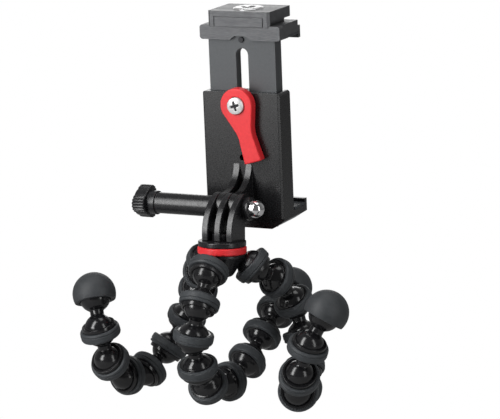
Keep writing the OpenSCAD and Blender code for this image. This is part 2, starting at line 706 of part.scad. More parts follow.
// Lock lever, leaning from its screw towards +X
module lever_outline() {
    circle(lever_head_r);
    rotate(lever_lean) polygon([
        [-neck_share * lever_head_r, 0], [-lever_waist / 2, -waist_share * lever_l],
        [-lever_tail / 2, -lever_l], [lever_tail / 2, -lever_l],
        [lever_waist / 2, -waist_share * lever_l], [neck_share * lever_head_r, 0]]);
}
module lock_lever() color([0.92, 0.16, 0.18]) translate([0, lever_back, lever_z]) rotate([90, 0, 0])
    difference() {
        linear_extrude(lever_t) lever_outline();
        translate([0, 0, -over]) cylinder(h = lever_t + 2 * over, d = lever_screw_d + 2 * seam);
        translate([0, 0, lever_t - screw_sunk - seam])
            cylinder(h = screw_sunk + over, d = screw_head_d + 2 * seam);
    }
module lever_screw() color("silver") translate([0, lever_front + screw_sunk - screw_head_h, lever_z])
    rotate([-90, 0, 0]) difference() {
        union() {
            cylinder(h = screw_head_h / 4, d1 = screw_head_d - screw_head_h / 4, d2 = screw_head_d);
            translate([0, 0, screw_head_h / 4]) cylinder(h = 3 * screw_head_h / 4, d = screw_head_d);
            cylinder(h = screw_head_h + lever_t - screw_sunk + lever_gap + slide_back - housing_y,
                     d = lever_screw_d);
        }
        for (a = [0, 90]) rotate(a + lever_lean)
            translate([-cross_l / 2, -cross_w / 2, -over]) cube([cross_l, cross_w, over + screw_head_h / 2]);
    }
module lever_washer() color("whitesmoke") translate([0, housing_y - run_gap, lever_z]) rotate([90, 0, 0])
    difference() {
        cylinder(h = lever_gap - 2 * run_gap, d = washer_d);
        translate([0, 0, -over]) cylinder(h = lever_gap + 2 * over, d = lever_screw_d + 2 * seam);
    }

// Slide plate: a long slot for the lever screw, with a wider track behind it for the nut
module slide_plate() color([0.4, 0.41, 0.42]) difference() {
    span([-slide_w / 2, slide_front, slide_z], [slide_w / 2, slide_back, slide_top]);
    span([-slot_w / 2, slide_front - over, slot_low], [slot_w / 2, slide_back + over, slot_top]);
    for (z = [slot_low, slot_top]) translate([0, slide_front - over, z]) rotate([-90, 0, 0])
        cylinder(h = slide_t + 2 * over, d = slot_w);
    span([-track_w / 2, slide_back - track_t, slot_low - track_w / 2 - slide_gap],
         [track_w / 2, slide_back + over, slot_top + track_w / 2 + slide_gap]);
    at_stop_screw() screw_hole(small_screw_l);
    at_jaw_screws() screw_hole(jaw_screw_l);
}
module at_stop_screw() translate([0, slide_front, jaw_z]) rotate([90, 0, 0]) children();
module stop_screw() color("dimgray") at_stop_screw() small_screw(small_screw_l, stop_head_d, stop_head_h);

// Upper jaw: a flange round the slide's end and an arm behind it
module flange_outline() {
    r = housing_round;
    translate([-jaw_w / 2, r]) square([jaw_w, jaw_h - 2 * r]);
    translate([-jaw_w / 2 + r, 0]) square([jaw_w - 2 * r, jaw_h]);
    for (x = [-1, 1]) for (z = [r, jaw_h - r]) translate([x * (jaw_w / 2 - r), z]) circle(r);
}
module upper_jaw() color([0.3, 0.3, 0.31]) difference() {
    union() {
        translate([0, jaw_front + flange_d, jaw_z]) rotate([90, 0, 0])
            linear_extrude(flange_d) flange_outline();
        span([-arm_w / 2, jaw_front + flange_d / 2, jaw_z], [arm_w / 2, jaw_reach - lip_l, jaw_top]);
        span([-arm_w / 2, stop_y, jaw_z - hook_h], [arm_w / 2, jaw_reach, jaw_z + lip_h]);
        span([-arm_w / 2, stop_y - 2 * hook_t, jaw_z], [arm_w / 2, jaw_reach, jaw_z + lip_h]);
    }
    span([-slide_w / 2 - seam, slide_front - seam, jaw_z - over],
         [slide_w / 2 + seam, slide_back + seam, slide_top]);
    span([-arm_w, pad_y, jaw_z - 2 * over], [arm_w, stop_y, jaw_z + jaw_pad_t]);
    translate([0, slide_front, jaw_z]) rotate([90, 0, 0]) linear_extrude(jaw_face + over) polygon([
        [-notch_w / 2, -over], [-notch_w / 2, 0], [-notch_share * notch_w / 2, notch_h],
        [notch_share * notch_w / 2, notch_h], [notch_w / 2, 0], [notch_w / 2, -over]]);
    at_jaw_screws() screw_hole(jaw_screw_l);
    at_shoe_screws() screw_hole(shoe_screw_l);
}
module upper_jaw_pad() color([0.06, 0.06, 0.065])
    span([-arm_w / 2, pad_y, jaw_z], [arm_w / 2, stop_y, jaw_z + jaw_pad_t]);
module at_jaw_screws() for (x = [-1, 1])
    translate([x * screw_spread_share * slide_w, (slide_front + slide_back) / 2, jaw_top - small_head_h])
        children();
module jaw_screws() color("dimgray") at_jaw_screws() small_screw(jaw_screw_l);

// Shoe on the upper jaw, grooved below its side and back edges
module shoe_solid() {
    span([-shoe_w / 2, shoe_y, jaw_top + shoe_groove_h], [shoe_w / 2, shoe_y + shoe_d, shoe_top]);
    span([-shoe_w / 2, shoe_y, jaw_top], [shoe_w / 2, shoe_y + shoe_face, jaw_top + shoe_groove_h]);
    span([-shoe_w / 2 + shoe_groove_d, shoe_y, jaw_top],
         [shoe_w / 2 - shoe_groove_d, shoe_y + shoe_d - shoe_groove_d, shoe_top]);
    span([-shoe_w / 2, shoe_y, jaw_top - shoe_lap], [shoe_w / 2, jaw_front, jaw_top]);
}
module shoe_plan() polygon([
    [-shoe_w / 2, shoe_y + shoe_d + over], [-shoe_w / 2, shoe_y + shoe_bevel],
    [-shoe_w / 2 + shoe_bevel, shoe_y], [shoe_w / 2 - shoe_bevel, shoe_y],
    [shoe_w / 2, shoe_y + shoe_bevel], [shoe_w / 2, shoe_y + shoe_d + over]]);
module shoe_block() color([0.33, 0.33, 0.34]) difference() {
    intersection() {
        translate([0, 0, jaw_top - shoe_lap - over]) linear_extrude(shoe_lap + shoe_h + 2 * over) shoe_plan();
        shoe_solid();
    }
    span([-inset_w / 2 - inset_seam, shoe_y - over, jaw_top - shoe_lap - over],
         [inset_w / 2 + inset_seam, shoe_y + inset_t, jaw_top - shoe_lap + inset_h + inset_seam]);
    translate([0, insert_y, shoe_top - insert_l - seam])
        cylinder(h = insert_l + over, d = insert_body_d + 2 * seam);
    translate([0, insert_y, shoe_top - insert_proud])
        cylinder(h = insert_proud + over, d = insert_d + 2 * seam);
    at_shoe_screws() screw_hole(shoe_screw_l);
}
module shoe_inset() color([0.33, 0.33, 0.34]) span([-inset_w / 2, shoe_y, jaw_top - shoe_lap],
    [inset_w / 2, shoe_y + inset_t, jaw_top - shoe_lap + inset_h]);
module at_shoe_screws() for (x = [-1, 1])
    translate([x * screw_spread_share * shoe_w, insert_y + insert_d / 3, jaw_z + jaw_pad_t + small_head_h])
        rotate([180, 0, 0]) children();
module shoe_screws() color("dimgray") at_shoe_screws() small_screw(shoe_screw_l);

// Threaded insert in the shoe's top
module threaded_insert() color("gainsboro") translate([0, insert_y, shoe_top]) difference() {
    union() {
        translate([0, 0, -insert_l]) cylinder(h = insert_l, d = insert_body_d);
        translate([0, 0, -insert_proud]) cylinder(h = 2 * insert_proud, d = insert_d);
    }
    translate([0, 0, -insert_l - over]) cylinder(h = insert_l + 3 * over, r = thread_r);
}

hub_body();
hub_grips();
trim_ring();
hub_stud();
fork();
cap_nut();
tilt_bolt();
thumb_knob();
housing();
slide_liners();
back_cover();
back_pad();
lower_jaw();
lower_jaw_pad();
lower_jaw_screws();
slot_nut();
lever_washer();
lock_lever();
lever_screw();
slide_plate();
stop_screw();
upper_jaw();
upper_jaw_pad();
jaw_screws();
shoe_block();
shoe_inset();
shoe_screws();
threaded_insert();
for (k = [0 : len(LEGS) - 1]) for (n = [1 : links_per_leg + 1])
    leg_piece(k, n);
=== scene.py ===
# Flexible-leg tripod with a sliding clamp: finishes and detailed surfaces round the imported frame
import bmesh
import bpy
import numpy as np
from mathutils import Matrix, Vector
from mathutils.geometry import tessellate_polygon


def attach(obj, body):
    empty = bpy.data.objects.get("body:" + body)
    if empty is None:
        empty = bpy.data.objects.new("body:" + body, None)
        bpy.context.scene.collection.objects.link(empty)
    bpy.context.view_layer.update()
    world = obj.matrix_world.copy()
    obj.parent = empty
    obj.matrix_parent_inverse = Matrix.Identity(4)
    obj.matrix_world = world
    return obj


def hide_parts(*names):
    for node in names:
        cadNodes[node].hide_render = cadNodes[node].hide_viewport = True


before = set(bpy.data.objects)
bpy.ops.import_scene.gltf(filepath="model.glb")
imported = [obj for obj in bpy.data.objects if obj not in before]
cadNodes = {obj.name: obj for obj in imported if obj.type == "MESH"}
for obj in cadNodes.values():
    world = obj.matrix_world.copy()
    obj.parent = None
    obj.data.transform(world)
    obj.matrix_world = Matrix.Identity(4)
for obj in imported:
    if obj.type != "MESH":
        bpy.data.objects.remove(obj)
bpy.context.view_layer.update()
mm = 0.001
print("frame loaded:", len(cadNodes), "nodes")


# Vectors and places. Shapes are in millimetres until addPiece puts them into metres.
def unit(v):
    v = np.asarray(v, float)
    return v / np.linalg.norm(v)


def aimed(place, direction):
    # turns +Z onto the direction and carries the origin to the place
    w = unit(direction)
    side = unit(np.cross([0, 1, 0] if abs(w[1]) < 0.9 else [1, 0, 0], w))
    return np.column_stack([side, np.cross(w, side), w]), np.asarray(place, float)


def placed(surface, where):
    # every point turned, then carried to the place
    points, faces = surface
    turn, place = where
    return points @ turn.T + place, faces


def joined(*surfaces):
    # one surface from several, each face list moved past the points before it
    points, faces, start = [], [], 0
    for p, f in surfaces:
        points.append(p)
        faces += [[i + start for i in face] for face in f]
        start += len(p)
    return np.concatenate(points), faces


def roundedPath(corners, radii, closed=False, steps=6):
    # each corner gives way to an arc tangent to both its sides, with a support point beside each end
    sideShare, leastRadius, straight = 0.45, 1e-5, 1.56   # straight is half a corner's angle, in radians
    besideArc, besideShare = 0.5, 0.3   # support point: so many radii off, at most this share of the side
    corners = np.asarray(corners, float)
    count = len(corners)
    radii = np.broadcast_to(radii, count)
    run = []
    for i, corner in enumerate(corners):
        back, ahead = corners[i - 1] - corner, corners[(i + 1) % count] - corner
        backLength, aheadLength = np.linalg.norm(back), np.linalg.norm(ahead)
        half = np.arccos(np.clip(unit(back) @ unit(ahead), -1, 1)) / 2
        radius = min(radii[i], sideShare * min(backLength, aheadLength) * np.tan(half))
        if (not closed and i in (0, count - 1)) or radius < leastRadius or half > straight:
            run.append(corner[None])
            continue
        back, ahead = unit(back), unit(ahead)
        reach = radius / np.tan(half)
        centre = corner + unit(back + ahead) * radius / np.sin(half)
        first, last = corner + back * reach - centre, corner + ahead * reach - centre
        sweep = np.pi - 2 * half
        t = np.linspace(0, 1, steps + 1)[:, None]
        arc = centre + (np.sin((1 - t) * sweep) * first + np.sin(t * sweep) * last) / np.sin(sweep)
        before = corner + back * (reach + min(besideArc * radius, besideShare * (backLength - reach)))
        after = corner + ahead * (reach + min(besideArc * radius, besideShare * (aheadLength - reach)))
        run.append(np.concatenate([before[None], arc, after[None]]))
    return np.concatenate(run)


def arcPoints(centre, radius, start, end, count):
    # centre plus radius times (cos a, sin a), the angle going evenly from start to end, in degrees
    a = np.radians(np.linspace(start, end, count))
    return np.column_stack([centre[0] + radius * np.cos(a), centre[1] + radius * np.sin(a)])


def holeLoop(radius, centre=(0, 0), count=64):
    # points evenly round a circle, clockwise
    return arcPoints(centre, radius, 0, 360, count + 1)[:-1][::-1]


def gridSurface(grid, closeRows=False):
    # grid[i, j] is the point at step i along the profile and step j round it; the round is closed
    rows, columns = grid.shape[:2]
    index = np.arange(rows * columns).reshape(rows, columns)
    if closeRows:
        index = np.concatenate([index, index[:1]])
    index = np.concatenate([index, index[:, :1]], axis=1)
    faces = np.stack([index[:-1, :-1], index[:-1, 1:], index[1:, 1:], index[1:, :-1]], -1)
    return grid.reshape(-1, 3), faces.reshape(-1, 4).tolist()


def lathe(profile, count=64, closed=False):
    # a profile of (r, z) turned round Z: (r cos t, r sin t, z)
    profile = np.asarray(profile, float)
    t = np.arange(count) * 2 * np.pi / count
    r, z = profile[:, :1], profile[:, 1:]
    grid = np.stack([r * np.cos(t), r * np.sin(t), z + 0 * t], -1)
    return gridSurface(grid, closeRows=closed)


def plate(loops, thickness, edge, steps=4):
    # outlines (x, y) carried up by the thickness and drawn in along their normals by a quarter round
    # at both faces; the outer loop runs anticlockwise and the holes run clockwise
    ramp = np.linspace(0, np.pi / 2, steps + 1)
    drawIn = np.concatenate([edge * (1 - np.sin(ramp)), edge * (1 - np.sin(ramp[::-1]))])
    rise = np.concatenate([edge * (1 - np.cos(ramp)), thickness - edge * (1 - np.cos(ramp[::-1]))])
    parts, rims = [], []
    for loop in loops:
        along = np.roll(loop, -1, 0) - np.roll(loop, 1, 0)
        outward = np.column_stack([along[:, 1], -along[:, 0]])
        outward /= np.linalg.norm(outward, axis=1)[:, None]
        flat = loop[None] - outward[None] * drawIn[:, None, None]
        height = np.broadcast_to(rise[:, None, None], flat.shape[:2] + (1,))
        parts.append(gridSurface(np.concatenate([flat, height], -1)))
        rims.append(flat[0])
    triangles = tessellate_polygon([[Vector((x, y, 0)) for x, y in rim] for rim in rims])
    points = np.concatenate(rims)
    a, b, c = (points[[t[k] for t in triangles]] for k in range(3))
    anticlockwise = np.cross(b - a, c - a) > 0
    up = [list(t) if good else list(t)[::-1] for t, good in zip(triangles, anticlockwise)]
    low = np.column_stack([points, np.zeros(len(points))])
    parts.append((low + [0, 0, thickness], up))
    parts.append((low, [t[::-1] for t in up]))
    return joined(*parts)


def addPiece(name, surface, material, body, replaced=()):
    # puts a surface into a mesh, closes its seams and poles, and lets it ride on its body
    points, faces = surface
    mesh = bpy.data.meshes.new(name)
    mesh.from_pydata((points * mm).tolist(), [], faces)
    shape = bmesh.new()
    shape.from_mesh(mesh)
    bmesh.ops.remove_doubles(shape, verts=shape.verts, dist=1e-6)
    for face in shape.faces:
        face.smooth = True
    shape.to_mesh(mesh)
    shape.free()
    piece = bpy.data.objects.new(name, mesh)
    bpy.context.scene.collection.objects.link(piece)
    piece.data.materials.append(material)
    piece.modifiers.new("flatFaces", "WEIGHTED_NORMAL").weight = 70
    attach(piece, body)
    if replaced:
        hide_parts(*replaced)


def softenedCopy(node, body, material, width, sharpFrom=35):
    # the node's own solid with its loose triangles merged and its sharp edges rounded
    mesh = cadNodes[node].data.copy()
    mesh.name = node + "Dressed"
    shape = bmesh.new()
    shape.from_mesh(mesh)
    bmesh.ops.remove_doubles(shape, verts=shape.verts, dist=2e-6)
    bmesh.ops.dissolve_limit(shape, angle_limit=np.radians(1.5), verts=shape.verts, edges=shape.edges)
    for face in shape.faces:
        face.smooth = True
    shape.to_mesh(mesh)
    shape.free()
    piece = bpy.data.objects.new(node + "Dressed", mesh)
    bpy.context.scene.collection.objects.link(piece)
    mesh.materials.clear()
    mesh.materials.append(material)
    bevel = piece.modifiers.new("roundEdges", "BEVEL")
    bevel.width, bevel.segments = width * mm, 3
    bevel.limit_method, bevel.angle_limit = "ANGLE", np.radians(sharpFrom)
    bevel.use_clamp_overlap = True
    piece.modifiers.new("flatFaces", "WEIGHTED_NORMAL").weight = 100
    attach(piece, body)
    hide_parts(node)


# Finishes: one grain pattern, shared, and a material for each finish
grainLook = dict(fineDetail=4, fineRoughness=0.62, slowDetail=3, slowScale=0.07, toneLow=0.3, toneHigh=0.7)


def linkNodes(tree, *pairs):
    for source, target in pairs:
        tree.links.new(source, target)


def makeGrain():
    # Height is fine noise, Tone a slow drift from 0 to 1; Stretch squeezes the pattern along an axis
    s = grainLook
    group = bpy.data.node_groups.new("surfaceGrain", "ShaderNodeTree")
    for name, kind in (("Scale", "NodeSocketFloat"), ("Stretch", "NodeSocketVector")):
        group.interface.new_socket(name, in_out="INPUT", socket_type=kind)
    for name in ("Height", "Tone"):
        group.interface.new_socket(name, in_out="OUTPUT", socket_type="NodeSocketFloat")
    given, result = group.nodes.new("NodeGroupInput"), group.nodes.new("NodeGroupOutput")
    where = group.nodes.new("ShaderNodeTexCoord")
    squeeze = group.nodes.new("ShaderNodeVectorMath")
    squeeze.operation = "MULTIPLY"
    fine, slow = group.nodes.new("ShaderNodeTexNoise"), group.nodes.new("ShaderNodeTexNoise")
    fine.inputs["Detail"].default_value = s["fineDetail"]
    fine.inputs["Roughness"].default_value = s["fineRoughness"]
    slow.inputs["Detail"].default_value = s["slowDetail"]
    slower = group.nodes.new("ShaderNodeMath")
    slower.operation = "MULTIPLY"
    slower.inputs[1].default_value = s["slowScale"]
    linkNodes(group,
              (where.outputs["Object"], squeeze.inputs[0]), (given.outputs["Stretch"], squeeze.inputs[1]),
              (squeeze.outputs[0], fine.inputs["Vector"]), (squeeze.outputs[0], slow.inputs["Vector"]),
              (given.outputs["Scale"], fine.inputs["Scale"]), (given.outputs["Scale"], slower.inputs[0]),
              (slower.outputs[0], slow.inputs["Scale"]), (fine.outputs["Fac"], result.inputs["Height"]),
              (slow.outputs["Fac"], result.inputs["Tone"]))
    return group


grainGroup = makeGrain()


def makeFinish(name, dark, light, roughness, metallic=0, scale=9000, stretch=(1, 1, 1), bump=0.15,
               depth=0.04, fineTone=0.3):
    # colour runs from dark to light with the grain's tone, and roughness between its two values
    finish = bpy.data.materials.new(name)
    finish.use_nodes = True
    tree = finish.node_tree
    shader = tree.nodes["Principled BSDF"]
    grain = tree.nodes.new("ShaderNodeGroup")
    grain.node_tree = grainGroup
    grain.inputs["Scale"].default_value = scale
    grain.inputs["Stretch"].default_value = stretch
    blendTone = tree.nodes.new("ShaderNodeMix")
    blendTone.data_type = "FLOAT"
    blendTone.inputs["Factor"].default_value = fineTone
    low, high = grainLook["toneLow"], grainLook["toneHigh"]
    colour = tree.nodes.new("ShaderNodeValToRGB")
    first, last = colour.color_ramp.elements
    first.position, last.position = low, high
    first.color, last.color = (*dark, 1), (*light, 1)
    rough = tree.nodes.new("ShaderNodeMapRange")
    rough.inputs["From Min"].default_value, rough.inputs["From Max"].default_value = low, high
    rough.inputs["To Min"].default_value, rough.inputs["To Max"].default_value = roughness
    lift = tree.nodes.new("ShaderNodeBump")
    lift.inputs["Strength"].default_value = bump
    lift.inputs["Distance"].default_value = depth * mm
    linkNodes(tree,
              (grain.outputs["Tone"], blendTone.inputs["A"]),
              (grain.outputs["Height"], blendTone.inputs["B"]),
              (blendTone.outputs["Result"], colour.inputs["Fac"]),
              (colour.outputs["Color"], shader.inputs["Base Color"]),
              (grain.outputs["Tone"], rough.inputs["Value"]),
              (rough.outputs["Result"], shader.inputs["Roughness"]),
              (grain.outputs["Height"], lift.inputs["Height"]),
              (lift.outputs["Normal"], shader.inputs["Normal"]))
    shader.inputs["Metallic"].default_value = metallic
    return finish


finishes = {
    "gloss": makeFinish("glossBlack", (0.006, 0.006, 0.007), (0.010, 0.010, 0.011), (0.16, 0.22),
                        scale=900, bump=0.04, depth=0.02),
    "satin": makeFinish("satinBlack", (0.009, 0.009, 0.010), (0.014, 0.014, 0.016), (0.25, 0.33),
                        scale=11000, bump=0.1, depth=0.01),
    "shell": makeFinish("satinShell", (0.008, 0.008, 0.009), (0.012, 0.012, 0.013), (0.25, 0.31),
                        scale=12000, bump=0.04, depth=0.01),
    "grip": makeFinish("gripRubber", (0.030, 0.034, 0.038), (0.048, 0.053, 0.058), (0.50, 0.62),
                       scale=5000, bump=0.35, depth=0.04),
    "foot": makeFinish("footRubber", (0.026, 0.029, 0.032), (0.040, 0.044, 0.048), (0.52, 0.64),
                       scale=8000, bump=0.5, depth=0.03),
    "red": makeFinish("redMoulding", (0.78, 0.020, 0.028), (0.88, 0.035, 0.042), (0.40, 0.52),
                      scale=14000, bump=0.3, depth=0.02),
    "slide": makeFinish("slideGrey", (0.080, 0.084, 0.088), (0.098, 0.103, 0.108), (0.42, 0.5),
                        metallic=0.6, scale=12000, bump=0.15, depth=0.012),
    "brushed": makeFinish("brushedDark", (0.045, 0.046, 0.049), (0.17, 0.173, 0.18), (0.34, 0.48),
                          metallic=0.55, scale=5200, stretch=(0.05, 1, 1), bump=0.3, depth=0.02,
                          fineTone=0.7),
    "turned": makeFinish("turnedSteel", (0.78, 0.78, 0.78), (0.86, 0.86, 0.86), (0.34, 0.40),
                         metallic=1, scale=6000, bump=0.03, depth=0.005),
    "chrome": makeFinish("chrome", (0.78, 0.78, 0.79), (0.84, 0.84, 0.85), (0.04, 0.08),
                         metallic=1, scale=1500, bump=0.02, depth=0.01),
    "zinc": makeFinish("zincPlate", (0.74, 0.74, 0.73), (0.86, 0.86, 0.85), (0.30, 0.42),
                       metallic=0.5, scale=5000, bump=0.15, depth=0.02),
    "blackScrew": makeFinish("blackenedSteel", (0.02, 0.02, 0.022), (0.035, 0.035, 0.038), (0.28, 0.4),
                             metallic=0.8, scale=6000, bump=0.1, depth=0.01),
    "slick": makeFinish("slickWhite", (0.70, 0.70, 0.68), (0.78, 0.78, 0.76), (0.3, 0.4),
                        scale=7000, bump=0.1, depth=0.01)}
print("finishes made:", len(finishes))


# Legs wind round the X axis. Shares are of the pitch: a link's step along X, and its stand-off.
wrap = dict(radius=17, gap=0.25, pitch=16, links=8, ringRadius=9.15, lean=5, hubHeight=55.7,
            socketOut=15, socketDrop=28, dip=42)
legs = {
    "front_leg": dict(turn=-90, way=-1, shift=[0, -0.2, -0.02, -0.04, 0.2, 0.16, 0.1, 0.04, 0.04],
                      lift=[0.34, 0.1, 0.06, 0.1, 0, 0, 0.38, 1.18, 2.1]),
    "left_leg": dict(turn=150, way=1, shift=[-0.45, -0.45, -0.45, -0.42, -0.24, -0.16, -0.1, -0.12, -0.3],
                     lift=[0] * 9),
    "right_leg": dict(turn=30, way=1, shift=[0.34, 0.24, 0.26, 0.28, 0.29, 0.32, 0.36, 0.38, 0.39],
                      lift=[0] * 9)}
leanCos, leanSin = np.cos(np.radians(wrap["lean"])), np.sin(np.radians(wrap["lean"]))
hubTurn = np.array([[1, 0, 0], [0, leanCos, leanSin], [0, -leanSin, leanCos]])
hubFrame = hubTurn, np.array([0, 0, wrap["hubHeight"]])
boltAt = np.array([0, 8.5, 53.6])
boltInHub = (boltAt - hubFrame[1]) @ hubTurn
alongX = np.array([[0, 0, 1], [1, 0, 0], [0, 1, 0]], float)   # carries +Z onto +X
towardsViewer = np.array([[1, 0, 0], [0, 0, -1], [0, 1, 0]], float)   # carries +Z onto -Y and +Y onto +Z


def socketFrame(turn):
    # a leg socket's centre and mouth direction, brought out of the hub's leaning frame
    a, dip = np.radians(turn), np.radians(wrap["dip"])
    centre = np.array([wrap["socketOut"] * np.cos(a), wrap["socketOut"] * np.sin(a), -wrap["socketDrop"]])
    mouth = np.array([np.cos(a) * np.cos(dip), np.sin(a) * np.cos(dip), -np.sin(dip)])
    return hubTurn @ centre + hubFrame[1], hubTurn @ mouth


def legBalls(leg):
    # each ball lies one pitch from the last, on a circle round the X axis whose radius the lift sets
    spots = [socketFrame(leg["turn"])[0]]
    rest = wrap["radius"] + wrap["ringRadius"] + wrap["gap"]
    for shift, lift in zip(leg["shift"], leg["lift"]):
        x, y, z = spots[-1]
        along, radius, last = shift * wrap["pitch"], rest + lift * wrap["pitch"], np.hypot(y, z)
        share = (last ** 2 + radius ** 2 - wrap["pitch"] ** 2 + along ** 2) / (2 * last * radius)
        angle = np.arctan2(z, -y) + leg["way"] * np.arccos(share)
        spots.append(np.array([x + along, -radius * np.cos(angle), radius * np.sin(angle)]))
    return spots


# One link: ball at z = 0, cup at the pitch, and the rubber ring's section beside the cup's seat
link = dict(ball=6.55, neck=3.1, neckGap=3, neckLow=0.35, neckHigh=0.45, neckRounds=(0, 0.5, 0.7, 0),
            dome=7.2, domeSet=1.4, domeStart=0.5, cup=7.8, cavity=6.7, reach=2.0, seat=7.63, seatHigh=0.35,
            seatRound=0.18, lipLow=0.6, lipOut=0.12, lipRounds=(0, 0.3, 0.22, 0))
domeBack = -np.degrees(np.arccos((link["neck"] + link["domeStart"]) / link["dome"]))
# back and mouth: each corner's way in, its distance from that side of the ring, and its rounding
ring = dict(set=4.25, width=4.5, radius=wrap["ringRadius"], backGap=0.03, seatGap=0.02, innerRound=0.1,
            back=[(0.35, 0, 0.6), (0, 0.9, 0.9)],
            mouth=[(0, 1.55, 0.15), (0.38, 1.35, 0.08), (0.38, 1.1, 0.08), (0.05, 0.9, 0.2),
                   (0.45, 0, 0.4)])


def cupProfile(backEnd):
    # from the dome's back, up the dome, round the seat and rim, over the lip and down into the cavity
    s = link
    domeAngle = np.degrees(np.arcsin((ring["set"] - s["domeSet"]) / s["dome"]))
    dome = arcPoints((0, -s["domeSet"]), s["dome"], backEnd, -domeAngle, count=14)
    cupTop = np.degrees(np.arcsin(s["reach"] / s["cup"]))
    rimLow = np.degrees(np.arcsin(s["seatHigh"] / s["cup"]))
    rim = arcPoints((0, 0), s["cup"], rimLow, cupTop, count=8)
    seat = roundedPath([dome[-1], (s["seat"], -ring["set"]), (s["seat"], s["seatHigh"]), rim[0]],
                       s["seatRound"], steps=4)
    lipRadius, lipLow = np.sqrt(s["cavity"] ** 2 - s["reach"] ** 2), s["reach"] - s["lipLow"]
    lip = roundedPath([rim[-2], rim[-1], (lipRadius, s["reach"]), (lipRadius + s["lipOut"], lipLow)],
                      s["lipRounds"], steps=4)
    cavity = arcPoints((0, 0), s["cavity"], np.degrees(np.arcsin(lipLow / s["cavity"])), -90, count=18)
    return np.concatenate([dome[:-1], seat[:-1], rim[:-2], lip, cavity])


def ringProfile():
    # the rubber ring's section: round shoulders, a shallow waist and a small bead towards the mouth
    s = ring
    low, high = -s["set"] + s["backGap"], s["width"] - s["set"]
    inner, outer = link["seat"] + s["seatGap"], s["radius"]
    corners = [(inner, low), *((outer - inward, low + up) for inward, up, _ in s["back"]),
               *((outer - inward, high - down) for inward, down, _ in s["mouth"]), (inner, high)]
    rounds = [s["innerRound"], *(corner[2] for corner in s["back"] + s["mouth"]), s["innerRound"]]
    return roundedPath(corners, rounds, closed=True, steps=4)


def stemProfile(carried):
    # the ball from its foot to the neck, then the neck up to the profile that it carries
    s = link
    neckStart = np.degrees(np.arcsin(s["neck"] / s["ball"]))
    ball = arcPoints((0, 0), s["ball"], -90, 90 - neckStart - s["neckGap"], count=26)
    neck = roundedPath([ball[-1], (s["neck"], ball[-1][1] + s["neckLow"]),
                        (s["neck"], carried[0][1] - s["neckHigh"]), carried[0]], s["neckRounds"], steps=5)
    return np.concatenate([ball[:-1], neck[:-1], carried])


foot = dict(radius=9.85, wall=1.7, skirt=3.5, coreGap=0.03, coreStart=-4, rimStart=3, rimRound=0.35)


def footSurfaces():
    # a link's ball, neck and dome with a round top, under a rubber cap between two spheres
    s = foot
    core = s["radius"] - s["wall"]
    dome = arcPoints((0, -link["domeSet"]), link["dome"], domeBack, 0, count=14) + [0, wrap["pitch"]]
    top = arcPoints((0, wrap["pitch"]), core - s["coreGap"], s["coreStart"], 90, count=20)
    stem = lathe(stemProfile(np.concatenate([dome, top])))
    skirt = np.array([np.sqrt(s["radius"] ** 2 - s["skirt"] ** 2), -s["skirt"]])
    inside = np.array([np.sqrt(core ** 2 - s["skirt"] ** 2), -s["skirt"]])
    rimAngle = np.degrees(np.arctan2(skirt[1], skirt[0])) + s["rimStart"]
    outer = arcPoints((0, 0), s["radius"], rimAngle, 90, count=40)
    bottom = roundedPath([inside, skirt, outer[0]], (0, s["rimRound"], 0), steps=5)
    inner = arcPoints((0, 0), core, 90, np.degrees(np.arctan2(inside[1], inside[0])), count=20)
    cap = lathe(np.concatenate([bottom[:-1], outer, inner]) + [0, wrap["pitch"]], count=80)
    return stem, cap


def buildLegs():
    shell = lathe(stemProfile(cupProfile(domeBack) + [0, wrap["pitch"]]))
    grip = lathe(ringProfile(), closed=True)
    stem, cap = footSurfaces()
    for name, leg in legs.items():
        spots = legBalls(leg)
        for i in range(wrap["links"]):
            node = f"{name}_link_{i + 1}"
            where = aimed(spots[i], spots[i + 1] - spots[i])
            cupPlace = aimed(spots[i + 1], spots[i + 1] - spots[i])
            addPiece(node + "Shell", placed(shell, where), finishes["gloss"], node, [node])
            addPiece(node + "Ring", placed(grip, cupPlace), finishes["grip"], node)
        node = f"{name}_foot"
        where = aimed(spots[-2], spots[-1] - spots[-2])
        addPiece(node + "Stem", placed(stem, where), finishes["gloss"], node, [node])
        addPiece(node + "Cap", placed(cap, where), finishes["foot"], node)
    print("legs built")


buildLegs()


# Hub: a tapered body and three cups, in the hub's own leaning frame, and the trim ring above them
hub = dict(top=-21.0, height=10.5, radius=10.5, tip=4.5, rimDepth=1.2, rounds=(0, 2.6, 0.8, 0.3, 0),
           cupBack=-70, neck=[(0, -13.0), (4.6, -12.6), (5.6, -9.5)], neckRounds=(0, 1.5, 2, 0),
           heldWithin=1.1, heldUnder=0.1)
trimRing = dict(top=-17.6, height=3.2, radius=11.05, bore=3.15, lowIn=0.3, highIn=0.5, edge=0.5,
                rounds=(0, 0.4, 0.4, 0.4, 0.4, 0))


